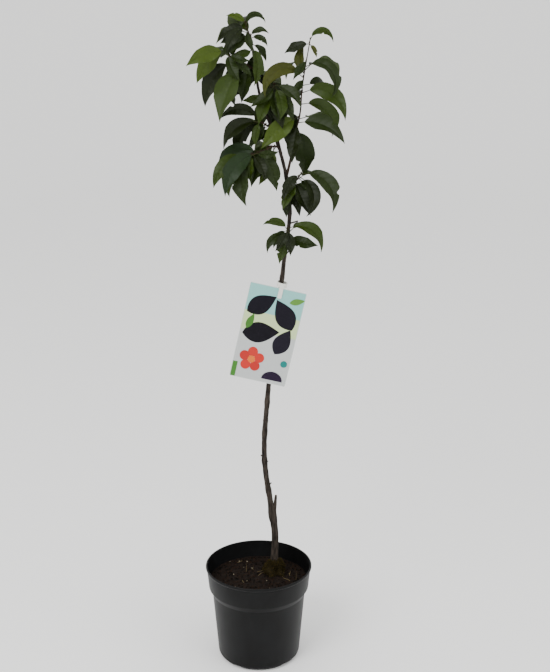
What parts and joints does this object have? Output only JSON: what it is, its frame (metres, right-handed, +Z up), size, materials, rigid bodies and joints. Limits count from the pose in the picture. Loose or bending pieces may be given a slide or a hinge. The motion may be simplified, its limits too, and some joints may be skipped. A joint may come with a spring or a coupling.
{
  "type": "potted plum tree",
  "caption": "Young grafted plum tree with drooping green leaves in a black nursery pot, a picture card hung on its trunk.",
  "frame": {"origin": "middle of the pot's flat underside", "axes": "+Z up along the tree, -Y out of the front that the card faces, +X to the right seen from the front"},
  "size_m": [0.2824, 0.21, 1.2463],
  "materials": {
    "pot_black": "blow-moulded black plastic, slight sheen",
    "compost_brown": "loose dark compost",
    "moss_olive": "soft brown-green moss",
    "bark_grey": "grey-brown bark",
    "shoot_bark": "smooth young bark",
    "leaf_green": "matt to silky leaves",
    "card_print": "printed coated card",
    "strap_white": "thin white plastic strap"
  },
  "bodies": {
    "root": {"pot": "pot_black", "compost": "compost_brown", "moss_mound": "moss_olive", "trunk": "bark_grey", "right_bough": "shoot_bark", "picture_card": "card_print", "card_strap": "strap_white", "top_foliage": "leaf_green", "upper_left_foliage": "leaf_green", "upper_right_foliage": "leaf_green", "middle_left_foliage": "leaf_green", "middle_foliage": "leaf_green", "right_shoot_foliage": "leaf_green", "right_spur_foliage": "leaf_green", "low_spur_foliage": "leaf_green"}
  },
  "joints": []
}
